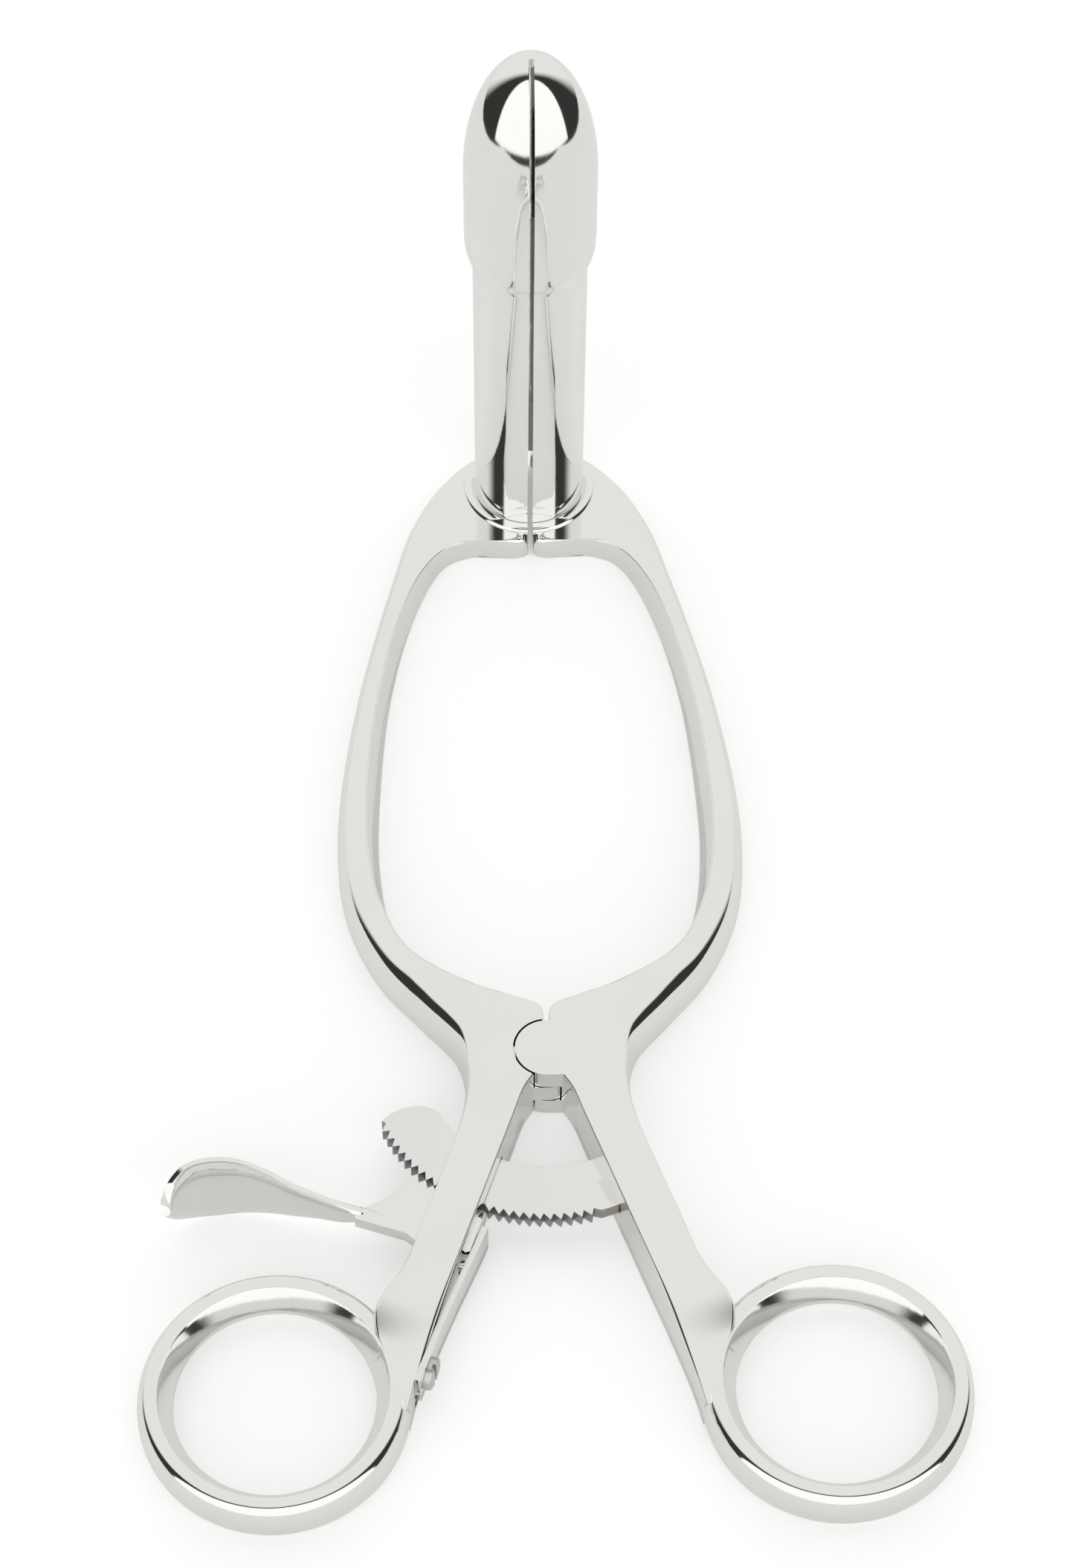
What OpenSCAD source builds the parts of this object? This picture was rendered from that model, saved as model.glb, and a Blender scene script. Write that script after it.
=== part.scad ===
/* [Frame] */
// Thickness of the joint and the shanks
shank_t = 9; // [7:0.5:11]
// Thickness of the bow where it carries the blade
root_t = 3.6; // [3:0.2:5]
// Half width of the bow at its widest
bow_half = 26.6; // [24:0.2:30]
// Distance from the pivot to the widest point of the bow
bow_y = 34; // [30:1:38]
// Width of the bow's flat bar at its widest
rail_w = 5.3; // [4.5:0.1:6]
// How far the inner wall of the bow leans back from bottom to top
rail_draft = 1.3; // [0.4:0.1:1.8]
// How far the arm runs on in front of the blade
root_lip = 2.7; // [1.5:0.1:3.2]
// Rounding of that lip's upper edge
lip_round = 1.8; // [0.6:0.1:2.2]
// Width of the shank, measured square to it
shank_w = 6.2; // [5.6:0.1:7]
// Angle between each shank's inner edge and the middle line
shank_lean = 19.6; // [18:0.2:21]

/* [Finger rings] */
// Sideways distance from the middle line to the ring's centre
ring_x = 33.2; // [32:0.2:36]
// Distance from the pivot back to the ring's centre
ring_y = 45.3; // [44:0.2:48]
// Outer radius of the ring
ring_r = 16.2; // [15.6:0.1:16.8]
// Radius of the finger hole at mid height
hole_r = 12; // [11:0.1:12.6]
// Thickness of the ring
ring_t = 6.5; // [5.5:0.1:7.5]
// Depth of the slanted face inside the ring
ring_bevel = 1.7; // [1:0.1:2]

/* [Blades] */
// Distance from the pivot to the axis of the closed blades
blade_y = 99; // [96:0.5:104]
// Outer radius of the blades' neck
neck_r = 7.65; // [7:0.05:8.2]
// Outer radius of the blades' head
head_r = 8.75; // [8.4:0.05:9.6]
// Wall thickness of the blades
blade_wall = 1.3; // [1:0.1:1.6]
// Height of the crease under the head
heel_z = 49; // [44:0.5:54]
// Height where the rounded nose starts
nose_z = 64; // [60:0.5:68]
// Length of the rounded nose
nose_l = 18.5; // [16:0.5:21]
// Gap between the closed blades
split = 0.7; // [0.4:0.1:1]
// Depth and height of the flat ground on the blades' front at the root
root_flat = 0.75; // [0.3:0.05:0.9]
root_flat_l = 24; // [16:0.5:30]
// Depth and height of the flat ground on the blades' front above the heel
heel_flat = 0.3; // [0.1:0.05:0.5]
heel_flat_l = 20; // [10:0.5:24]

/* [Pivot joint] */
// Radius of the joint's round lobes
lobe_r = 4; // [3.6:0.1:4.6]
// Thickness of each outer lobe
lobe_t = 2.9; // [2.4:0.1:3.2]
// Radius of the hinge pin
pin_r = 1.9; // [1.4:0.1:2.2]
// Length of the hinge pin
pin_l = 7.6; // [6.4:0.1:8]
// Gap between the turning faces of the joint
joint_gap = 0.15; // [0.1:0.05:0.3]
// Gap round the lobes in their recesses
lobe_gap = 0.25; // [0.2:0.05:0.4]
// Radial clearance of a turning pin
run_fit = 0.05; // [0.02:0.01:0.08]
// Radial clearance of a fixed pin
seat_fit = 0.01; // [0.01:0.005:0.02]

/* [Ratchet] */
// Width of the ratchet bar, teeth included
bar_w = 7.4; // [6.6:0.1:8]
// Radius of the tooth tips
tip_r = 22.8; // [22.2:0.1:23.4]
// Depth of a tooth
tooth_h = 0.8; // [0.6:0.05:1]
// Angle from tooth to tooth
pitch = 3.2; // [3:0.1:3.4]
// Number of teeth on the bar
teeth = 25; // [20:1:26]
// Angle from the middle line to the tooth next to the bar's free end
first_tooth = 64.3; // [62:0.1:66]
// Length of the rounding at the bar's free end, as an angle
end_round = 10; // [8:0.5:12]
// Underside of the bar and of the pawl plate
bar_z = 4; // [3.6:0.1:4.4]
// Thickness of the bar and of the pawl plate
bar_t = 2; // [1.6:0.1:2.4]
// Gap above and below the bar and the plate in the slot
slot_gap = 0.2; // [0.1:0.05:0.3]
// Radius of the rivet that holds the bar
rivet_r = 1.2; // [0.9:0.1:1.5]

/* [Release lever] */
// Distance from the tooth tips out to the lever's pin
lever_out = 5.64; // [5:0.02:6.4]
// Radius of the lever's pin
lever_pin_r = 1.25; // [1:0.05:1.4]
// Angle that brings the pawl from just clear into the teeth
engage = 5.3; // [5:0.1:6]
// Thickness of the lever's thumb strip
strip_t = 1.2; // [1:0.1:1.6]
// Length of the thumb strip, from the plate to the paddle's end
strip_l = 24.6; // [22:0.2:27]
// Height of the paddle at the strip's end
paddle_h = 11.2; // [9:0.2:12]
// How far the paddle leans forward at its top
paddle_lean = 1; // [0:0.1:1.6]
// Length of the pin under the lever and of the bar's rivet
short_pin_l = 7.4; // [7:0.1:8]

/* [Leaf spring] */
// Thickness of the leaf
leaf_t = 0.8; // [0.5:0.1:1]
// How far the leaf runs on past the lever's pin
leaf_over = 1.6; // [0.6:0.1:2]
// Height of the leaf, along the thickness of the frame
leaf_h = 5; // [4:0.2:6]
// How far the leaf's tip stands off the shank
leaf_lift = 0.9; // [0.6:0.1:1.1]
// Radius of the screw's head
head_screw_r = 2; // [1.6:0.1:2.2]
// Radius of the screw's shaft
screw_r = 1; // [0.8:0.1:1.2]

/* [Hidden] */
$fn = 96;

steel = [0.80, 0.80, 0.78];
dull_steel = [0.62, 0.62, 0.61];

// A shape that only cuts runs this far past the faces it opens
past = 1;
g = split / 2;
slope = tan(shank_lean);
// Half distance between the shanks' inner edges, straight behind the pivot
crotch = 0.92;
// Width of the shank along the sideways direction
shank_x = shank_w / cos(shank_lean);
bow_in = bow_half - rail_w;
bar_in = tip_r - bar_w;

// Inner edge of the right shank at a distance behind the pivot
function shank_in(y) = crotch + slope * y;

// Top of the arm: thick at the joint, thin at the blade, as thick as the ring at the ring
bow_start = 12;
shank_end = 31;
function blend(t) = let (k = min(1, max(0, t))) k * k * (3 - 2 * k);
function ramp(t) = min(1, max(0, t));
function arm_top(y) = y > 0
    ? shank_t + (root_t - shank_t) * ramp((y - bow_start) / (blade_y - 11 - bow_start))
    : shank_t + (ring_t - shank_t) * blend((-y - shank_end) / (ring_y - 2 - shank_end));
// Lean of the inner wall, only round the bow
function draft(y) = rail_draft * blend((y - 6) / 12) * blend((blade_y - 6 - y) / 14);
// Rounding of the outer edge, largest on the bow and small on the shank
function outer_round(y) = 0.7 + 0.9 * blend((y - 2) / 16) * blend((blade_y - 2 - y) / 14);

// Stations of the right arm from the blade to the ring: inner edge x, y and outer edge x, y
STATIONS = concat(
    [
        [g, blade_y + neck_r - 0.6, 2.4, blade_y + neck_r - 0.5],
        [g, blade_y + 4.5, neck_r + 1, blade_y + 4.4],
        [g, blade_y - 1.5, neck_r + 5.8, blade_y - 1],
        [g, blade_y - neck_r - root_lip, neck_r + 9, blade_y - 7],
        [8, blade_y - neck_r - root_lip - 0.3, bow_half - 8.4, blade_y - 11.8],
        [13, blade_y - 13.8, bow_half - 7.3, blade_y - 16.4],
        [bow_in - 4.1, blade_y - 24.5, bow_half - 5.1, blade_y - 25.8],
        [bow_in - 1.3, bow_y + 26.5, bow_half - 2.4, bow_y + 25.7],
        [bow_in - 0.1, bow_y + 11, bow_half - 0.4, bow_y + 10.6],
        [bow_in - 0.1, bow_y, bow_half, bow_y - 1],
        [bow_in - 1.6, bow_y - 9.6, bow_half - 1.3, bow_y - 11.4],
        [bow_in - 5.6, 15.4, bow_half - 5.2, 13.6],
        [9.4, 10.3, bow_half - 10.2, 7.4],
        [4.2, 8, 13.6, 4.3],
        [0.6, 6.2, 11.8, 2],
        [0.6, 1.5, 10.7, -0.6],
        [1.1, -2.5, 10.3, -3.2]
    ],
    [for (y = [6, 10, 16, 23, 30])
        [shank_in(y), -y, shank_in(y) + shank_x + 0.9 * blend((12 - y) / 8), -y]],
    [
        [shank_in(37.2), -37.2, ring_x - ring_r + 4.6, -35.2],
        [ring_x - ring_r - 0.7, 1.6 - ring_y, ring_x - ring_r + 4.1, 5.4 - ring_y],
        [ring_x - ring_r + 0.3, -ring_y - 2.4, ring_x - ring_r + 2.3, -ring_y]
    ]
);
SPAN = 3;

// A smooth curve through the stations, with the inner edge kept off the middle line
function tangent(i) = i == 0 || i == len(STATIONS) - 1
    ? [0, 0, 0, 0] : (STATIONS[i + 1] - STATIONS[i - 1]) / 2;
function hermite(a, b, p, q, t) =
    a * (2 * pow(t, 3) - 3 * pow(t, 2) + 1) + b * (3 * pow(t, 2) - 2 * pow(t, 3))
    + p * (pow(t, 3) - 2 * pow(t, 2) + t) + q * (pow(t, 3) - pow(t, 2));
function between(i, t) = hermite(STATIONS[i], STATIONS[i + 1], tangent(i), tangent(i + 1), t);
function kept(s) = [max(g, s[0]), s[1], s[2], s[3]];
RAIL = concat(
    [for (i = [0:len(STATIONS) - 2]) for (k = [0:SPAN - 1]) kept(between(i, k / SPAN))],
    [STATIONS[len(STATIONS) - 1]]
);

// Rounding of the upper inner edge, large only on the lip in front of the blade
lip_y = blade_y - neck_r - root_lip;
function inner_round(x, y) = 0.35 + (lip_round - 0.35) * blend((y - lip_y + 5) / 3) * blend((11 - x) / 4);

// Section of the arm at one station: distance from the inner edge, height
function section(s) = let (
        w = norm([s[2] - s[0], s[3] - s[1]]),
        y = (s[1] + s[3]) / 2,
        t = arm_top(y),
        d = min(draft(y), w / 4),
        r = min(outer_round(y), w / 3),
        c = min(inner_round(s[0], s[1]), t / 2))
    [[0.3, 0], [0, 0.4], [d, t - c], [d + 0.3 * c, t - 0.3 * c], [d + c, t], [w - r, t],
     [w - 0.45 * r, 0.88 * t], [w - 0.1 * r, 0.72 * t], [w, 0.5 * t], [w - 0.1 * r, 0.28 * t],
     [w - 0.45 * r, 0.1 * t], [w - r, 0]];
function placed(s, p) = let (
        w = norm([s[2] - s[0], s[3] - s[1]]))
    [s[0] + (s[2] - s[0]) / w * p[0], s[1] + (s[3] - s[1]) / w * p[0], p[1]];
SIDES = 12;
RAIL_POINTS = [for (s = RAIL) for (p = section(s)) placed(s, p)];
RAIL_FACES = concat(
    [[for (k = [SIDES - 1:-1:0]) k]],
    [for (i = [0:len(RAIL) - 2]) for (k = [0:SIDES - 1]) let (
            a = i * SIDES + k,
            b = i * SIDES + (k + 1) % SIDES)
        for (f = [[a, b, a + SIDES], [b, b + SIDES, a + SIDES]]) f],
    [[for (k = [0:SIDES - 1]) (len(RAIL) - 1) * SIDES + k]]
);

// The ring's section is a bar with slanted inner faces and rounded outer edges
module ring() {
    mid = ring_t / 2;
    translate([ring_x, -ring_y, 0])
        rotate_extrude()
            polygon([[hole_r, mid - 0.5], [hole_r, mid + 0.5],
                     [hole_r + ring_bevel - 0.2, ring_t - 0.3], [hole_r + ring_bevel + 0.2, ring_t],
                     [ring_r - 1.1, ring_t], [ring_r - 0.35, ring_t - 0.5],
                     [ring_r, ring_t - 1.8], [ring_r, 1.8], [ring_r - 0.35, 0.5], [ring_r - 1.1, 0],
                     [hole_r + ring_bevel + 0.2, 0], [hole_r + ring_bevel - 0.2, 0.3]]);
}

module ring_hole() {
    mid = ring_t / 2;
    out = hole_r + ring_bevel + 0.2;
    translate([ring_x, -ring_y, 0])
        rotate_extrude()
            polygon([[0, -past], [out, -past], [out, 0], [out - 0.4, 0.3], [hole_r, mid - 0.5],
                     [hole_r, mid + 0.5], [out - 0.4, ring_t - 0.3], [out, ring_t],
                     [out, shank_t + past], [0, shank_t + past]]);
}

// One whole arm before the joint, slots and bores are cut, on the right-hand side
module arm_blank() {
    difference() {
        union() {
            polyhedron(RAIL_POINTS, RAIL_FACES, convexity = 10);
            ring();
        }
        ring_hole();
        translate([0, blade_y, -past])
            cylinder(r = neck_r - blade_wall, h = root_t + 2 * past);
    }
}

// Heights of the joint's layers
tongue_z = lobe_t + joint_gap;
tongue_t = shank_t - 2 * tongue_z;
top_lobe_z = shank_t - lobe_t;

// A round lobe with a straight neck that runs into its arm on the right
module lobe(r, h) {
    cylinder(r = r, h = h);
    translate([0, -r, 0])
        cube([lobe_r - 0.6, 2 * r, h]);
}

// A ring-shaped cut round the pivot; angles count from straight back towards the left
module arc_cut(r_in, r_out, z, h, from, to) {
    rotate([0, 0, 270 - to])
        translate([0, 0, z])
            rotate_extrude(angle = to - from)
                translate([r_in, 0])
                    square([r_out - r_in, h]);
}

// The lever's pin stands in the middle of the shank, at its distance outside the teeth
mid_shank = crotch + shank_x / 2;
lever_r = tip_r + lever_out;
lever_y = (sqrt(pow(mid_shank * slope, 2) - (1 + slope * slope) * (pow(mid_shank, 2) - pow(lever_r, 2)))
    - mid_shank * slope) / (1 + slope * slope);
lever_x = mid_shank + slope * lever_y;
lever_hub = 2.6;
slot_out = lever_r + lever_hub + 0.5;
SLOT_ANGLES = [2, 62];
slot_z = bar_z - slot_gap;
slot_h = bar_t + 2 * slot_gap;
screw_y = 42;

// Left arm: one forging, with the joint's middle tongue and the slot for bar and lever
module left_arm() {
    color(steel)
    difference() {
        union() {
            difference() {
                mirror([1, 0, 0]) arm_blank();
                translate([0, 0, top_lobe_z - joint_gap])
                    cylinder(r = lobe_r + lobe_gap, h = lobe_t + joint_gap + past);
                translate([0, 0, -past])
                    cylinder(r = lobe_r + lobe_gap, h = tongue_z + past);
            }
            translate([0, 0, tongue_z])
                mirror([1, 0, 0]) lobe(lobe_r, tongue_t);
        }
        translate([0, 0, -past])
            cylinder(r = pin_r + run_fit, h = shank_t + 2 * past);
        arc_cut(bar_in - 0.4, slot_out, slot_z, slot_h, SLOT_ANGLES[0], SLOT_ANGLES[1]);
        translate([-lever_x, -lever_y, -past])
            cylinder(r = lever_pin_r + seat_fit, h = short_pin_l + past);
        leaf_frame()
            translate([0, -3.4, -past])
                cube([past, 7, leaf_h + 2 * past]);
        leaf_frame()
            translate([0, 0, leaf_h / 2])
                rotate([0, 90, 0])
                    translate([0, 0, -screw_depth])
                        cylinder(r = screw_r + seat_fit, h = screw_depth + past);
    }
}

// Right arm: one forging, with the joint's two outer lobes and the pocket that holds the bar
bar_root = 33;
module right_arm() {
    color(steel)
    difference() {
        union() {
            difference() {
                arm_blank();
                translate([0, 0, lobe_t])
                    cylinder(r = lobe_r + lobe_gap, h = shank_t - 2 * lobe_t);
            }
            lobe(lobe_r, lobe_t);
            translate([0, 0, top_lobe_z])
                lobe(lobe_r, lobe_t);
        }
        translate([0, 0, -past])
            cylinder(r = pin_r + seat_fit, h = pin_l + past);
        arc_cut(bar_in - 0.02, tip_r + 0.02, bar_z, bar_t, -bar_root, -14);
        translate([rivet_x, -rivet_y, -past])
            cylinder(r = rivet_r + seat_fit, h = short_pin_l + past);
    }
}

// Half-tube blade: the neck, the heel, the head and the rounded nose
NOSE_STEPS = 14;
function nose(r, l) = [for (i = [0:NOSE_STEPS]) let (a = 90 * i / NOSE_STEPS)
    [r * cos(a), nose_z + l * sin(a)]];
function backwards(list) = [for (i = [len(list) - 1:-1:0]) list[i]];
function shell(d) = [
    [neck_r - d, root_t], [neck_r - d, heel_z - 0.8 + d], [neck_r + 0.1 - d, heel_z + d / 2],
    [head_r - 0.35 - d, heel_z + 1.1 + d / 2], [head_r - 0.1 - d, heel_z + 2.2 + d / 2],
    [head_r - d, heel_z + 4]];

// A wedge across the blades' front, deepest at its foot
module front_flat(r, foot, depth, length) {
    front = blade_y - r;
    translate([-r, 0, 0])
        rotate([90, 0, 90])
            linear_extrude(height = 2 * r)
                polygon([[front - past, foot], [front + depth, foot], [front, foot + length],
                         [front - past, foot + length]]);
}

module blade_half() {
    difference() {
        translate([0, blade_y, 0])
            rotate_extrude()
                polygon(concat(shell(0), nose(head_r, nose_l),
                               backwards(concat(shell(blade_wall), nose(head_r - blade_wall,
                                                                        nose_l - blade_wall)))));
        translate([g - 3 * head_r, blade_y - 2 * head_r, root_t - past])
            cube([3 * head_r, 4 * head_r, nose_z + nose_l]);
        front_flat(neck_r, root_t, root_flat, root_flat_l);
        front_flat(head_r, heel_z + blade_wall, heel_flat, heel_flat_l);
    }
}

module left_blade() {
    color(steel) mirror([1, 0, 0]) blade_half();
}

module right_blade() {
    color(steel) blade_half();
}

// Pin riveted into the two lobes, flush below and covered above
module hinge_pin() {
    color(dull_steel) cylinder(r = pin_r, h = pin_l);
}

// A point of the ratchet by radius and angle from straight back towards the left
function arc_point(r, a) = [-r * sin(a), -r * cos(a)];

// Saw teeth: each has a long flank towards the free end and a short one that locks
long_flank = 0.68;
function tooth(a, tip, root) = [
    arc_point(root, a + long_flank * pitch), arc_point(tip, a + 0.04 * pitch),
    arc_point(tip, a - 0.04 * pitch)];
bar_end = first_tooth + 1.7 * pitch;
last_tooth = first_tooth - (teeth - 1) * pitch;
mid_r = (bar_in + tip_r) / 2;
half_w = (tip_r - bar_in) / 2;
plain_out = tip_r - 0.3;
ARC_STEP = 3;
module ratchet_bar() {
    root = tip_r - tooth_h;
    color(steel)
    difference() {
        translate([0, 0, bar_z])
            linear_extrude(height = bar_t)
                polygon(concat(
                    [for (a = [-bar_root:ARC_STEP:bar_end - end_round]) arc_point(bar_in, a)],
                    [for (a = [0:15:90])
                        arc_point(mid_r - half_w * cos(a), bar_end + end_round * (sin(a) - 1))],
                    [for (a = [17:17:68])
                        arc_point(mid_r + half_w * sin(a), bar_end - 0.4 * end_round * (1 - cos(a)))],
                    [for (i = [0:teeth - 1]) for (p = tooth(first_tooth - i * pitch, tip_r, root)) p],
                    [arc_point(root, last_tooth - (1 - long_flank) * pitch)],
                    [for (a = [last_tooth - pitch:-ARC_STEP:-bar_root]) arc_point(plain_out, a)],
                    [arc_point(plain_out, -bar_root)]));
        translate([rivet_x, -rivet_y, 0])
            cylinder(r = rivet_r + seat_fit, h = shank_t);
    }
}

// Rivet through the right shank and the end of the bar
rivet_angle = 28;
rivet_x = mid_r * sin(rivet_angle);
rivet_y = mid_r * cos(rivet_angle);
module ratchet_rivet() {
    color(dull_steel)
        translate([rivet_x, -rivet_y, 0])
            cylinder(r = rivet_r, h = short_pin_l);
}

// Pawl plate. Its teeth are set out locked in the bar and turned back until they are just clear
PAWL_TEETH = 3;
lock_gap = 0.25;
crest_gap = 0.1;
pawl_angle = last_free(first_tooth, 11 * pitch);
plate_tail = 0.6;
function last_free(a, low) = a - pitch < low ? a : last_free(a - pitch, low);
function freed(p) = let (x = p[0] + lever_x, y = p[1] + lever_y)
    [x * cos(engage) - y * sin(engage) - lever_x, x * sin(engage) + y * cos(engage) - lever_y];
function lifted(p) = p * max(1, (tip_r + crest_gap) / norm(p));
function tail(y) = [-shank_in(y) + plate_tail, -y];
// Edge of the plate by distance outside the tooth tips and by angle from straight back
function plate_edge(d, a) = arc_point(tip_r + d, a);
module pawl_plate() {
    root = tip_r + lock_gap;
    tip = tip_r - tooth_h + lock_gap;
    linear_extrude(height = bar_t)
        polygon(concat(
            [for (i = [PAWL_TEETH - 1:-1:0]) let (a = pawl_angle + i * pitch)
                for (p = [arc_point(root, a + 0.94 * pitch), arc_point(tip, a + (long_flank - 0.06) * pitch),
                          arc_point(tip, a + (long_flank - 0.14) * pitch)]) lifted(freed(p))],
            [freed(arc_point(root, pawl_angle)), tail(lever_y - lever_hub), tail(lever_y + 0.7 * lever_hub)],
            [for (a = [60:15:120]) [-lever_x + lever_hub * cos(a), -lever_y - lever_hub * sin(a)]],
            [plate_edge(7.3, 36), plate_edge(9.8, 47.1), plate_edge(8.9, 48.8), plate_edge(7.3, 47.3),
             plate_edge(5.6, 46.4), plate_edge(4.2, 46), plate_edge(2.6, 46.1), plate_edge(1.3, 46.4)]));
}

// Thumb strip on edge: distance out and forward as shares of its length, lower and upper edge and
// lean as shares of the paddle's height and lean
strip_foot = plate_edge(8.2, 46.6);
strip_z = 0.4;
STRIP = [
    [0, 0, 0.36, 0.5, 0], [0.12, 0.025, 0.24, 0.57, 0], [0.245, 0.065, 0.18, 0.63, 0.1],
    [0.37, 0.1, 0.13, 0.72, 0.3], [0.49, 0.14, 0.07, 0.83, 0.6], [0.62, 0.165, 0.02, 0.94, 0.9],
    [0.75, 0.16, 0, 1, 1], [0.87, 0.135, 0.05, 0.98, 1], [0.95, 0.085, 0.2, 0.85, 1],
    [0.99, 0.04, 0.4, 0.66, 1], [1, 0.02, 0.5, 0.56, 1]];
STRIP_SPAN = 3;
strip_last = len(STRIP) - 1;
function strip_slope(i) = (STRIP[min(strip_last, i + 1)] - STRIP[max(0, i - 1)]) / 2;
function strip_at(i, t) = hermite(STRIP[i], STRIP[i + 1], strip_slope(i), strip_slope(i + 1), t);
STRIP_LINE = [for (s = concat(
        [for (i = [0:strip_last - 1]) for (k = [0:STRIP_SPAN - 1]) strip_at(i, k / STRIP_SPAN)],
        [STRIP[strip_last]]))
    [strip_foot[0] - strip_l * s[0], strip_foot[1] + strip_l * s[1], strip_z + paddle_h * s[2],
     strip_z + paddle_h * s[3], paddle_lean * s[4] / 2]];
function strip_dir(i) = let (a = STRIP_LINE[max(0, i - 1)], b = STRIP_LINE[min(len(STRIP_LINE) - 1, i + 1)])
    [b[0] - a[0], b[1] - a[1]] / norm([b[0] - a[0], b[1] - a[1]]);
STRIP_POINTS = [for (i = [0:len(STRIP_LINE) - 1]) let (s = STRIP_LINE[i], d = strip_dir(i) * strip_t / 2)
    for (p = [[s[0] + d[1], s[1] - d[0] - s[4], s[2]], [s[0] + d[1], s[1] - d[0] + s[4], s[3]],
              [s[0] - d[1], s[1] + d[0] + s[4], s[3]], [s[0] - d[1], s[1] + d[0] - s[4], s[2]]]) p];
STRIP_FACES = concat(
    [[3, 2, 1, 0]],
    [for (i = [0:len(STRIP_LINE) - 2]) for (k = [0:3]) let (a = 4 * i + k, b = 4 * i + (k + 1) % 4)
        for (f = [[a, b, a + 4], [b, b + 4, a + 4]]) f],
    [[for (k = [0:3]) 4 * (len(STRIP_LINE) - 1) + k]]);

module release_lever() {
    color(steel)
    difference() {
        union() {
            translate([0, 0, bar_z]) pawl_plate();
            polyhedron(STRIP_POINTS, STRIP_FACES, convexity = 6);
        }
        translate([-lever_x, -lever_y, 0])
            cylinder(r = lever_pin_r + run_fit, h = shank_t);
    }
}

module lever_pin() {
    color(dull_steel)
        translate([-lever_x, -lever_y, 0])
            cylinder(r = lever_pin_r, h = short_pin_l);
}

// Frame of the leaf: at the screw, with +X off the shank's inner face and +Y up the shank
leaf_l = (screw_y - lever_y) / cos(shank_lean) + leaf_over;
screw_depth = 3.4;
module leaf_frame() {
    translate([-shank_in(screw_y), -screw_y, (shank_t - leaf_h) / 2 - 0.2])
        rotate([0, 0, -shank_lean])
            children();
}

LEAF_STEPS = 10;
function leaf_off(t) = 0.02 + leaf_lift * (1.25 * pow(t, 1.6) - 0.25 * pow(t, 6));
module leaf_spring() {
    color(steel)
    leaf_frame()
        difference() {
            linear_extrude(height = leaf_h)
                polygon(concat(
                    [[0.02, -2.6]],
                    [for (k = [0:LEAF_STEPS]) [leaf_off(k / LEAF_STEPS), 2 + (leaf_l - 2) * k / LEAF_STEPS]],
                    [for (k = [LEAF_STEPS:-1:0])
                        [leaf_off(k / LEAF_STEPS) + leaf_t, 2 + (leaf_l - 2) * k / LEAF_STEPS]],
                    [[0.02 + leaf_t, -2.6]]));
            translate([-past, 0, leaf_h / 2])
                rotate([0, 90, 0])
                    cylinder(r = screw_r + 0.15, h = leaf_t + 2 * past);
        }
}

// Slotted screw that clamps the leaf's foot to the shank
head_t = 0.9;
module spring_screw() {
    color(dull_steel)
    leaf_frame()
        translate([0, 0, leaf_h / 2])
            rotate([0, 90, 0])
                difference() {
                    union() {
                        translate([0, 0, -screw_depth])
                            cylinder(r = screw_r, h = screw_depth + leaf_t + 0.3);
                        translate([0, 0, leaf_t + 0.04])
                            cylinder(r = head_screw_r, h = head_t);
                    }
                    translate([-head_screw_r - past, -0.3, leaf_t + head_t - 0.4])
                        cube([2 * (head_screw_r + past), 0.6, past]);
                }
}

left_arm();
right_arm();
left_blade();
right_blade();
hinge_pin();
ratchet_bar();
ratchet_rivet();
release_lever();
lever_pin();
leaf_spring();
spring_screw();
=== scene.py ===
import bpy
import bmesh
from math import sin, cos, tan, radians, pi, hypot, sqrt
from mathutils import Vector, Matrix


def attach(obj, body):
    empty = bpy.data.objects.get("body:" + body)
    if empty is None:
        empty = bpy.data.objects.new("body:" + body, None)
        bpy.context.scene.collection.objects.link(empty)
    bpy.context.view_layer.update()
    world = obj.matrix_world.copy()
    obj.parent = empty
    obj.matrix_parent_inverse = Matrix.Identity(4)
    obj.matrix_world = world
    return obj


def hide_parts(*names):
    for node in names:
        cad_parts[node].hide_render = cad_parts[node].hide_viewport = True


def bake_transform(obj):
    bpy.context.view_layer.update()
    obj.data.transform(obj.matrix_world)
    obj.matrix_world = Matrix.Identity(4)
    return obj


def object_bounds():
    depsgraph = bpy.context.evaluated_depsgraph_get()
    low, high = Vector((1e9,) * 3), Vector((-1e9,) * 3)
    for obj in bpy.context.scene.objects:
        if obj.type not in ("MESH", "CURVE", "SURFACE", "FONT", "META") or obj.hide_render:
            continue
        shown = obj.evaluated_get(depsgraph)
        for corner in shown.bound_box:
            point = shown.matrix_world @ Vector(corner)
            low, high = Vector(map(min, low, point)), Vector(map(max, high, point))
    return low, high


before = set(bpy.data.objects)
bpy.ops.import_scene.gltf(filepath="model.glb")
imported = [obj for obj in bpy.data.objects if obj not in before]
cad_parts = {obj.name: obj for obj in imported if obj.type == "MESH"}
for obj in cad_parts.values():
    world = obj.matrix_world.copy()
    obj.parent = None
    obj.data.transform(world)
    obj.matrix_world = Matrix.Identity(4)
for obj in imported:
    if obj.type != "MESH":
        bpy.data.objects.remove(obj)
cad_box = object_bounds()


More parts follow.
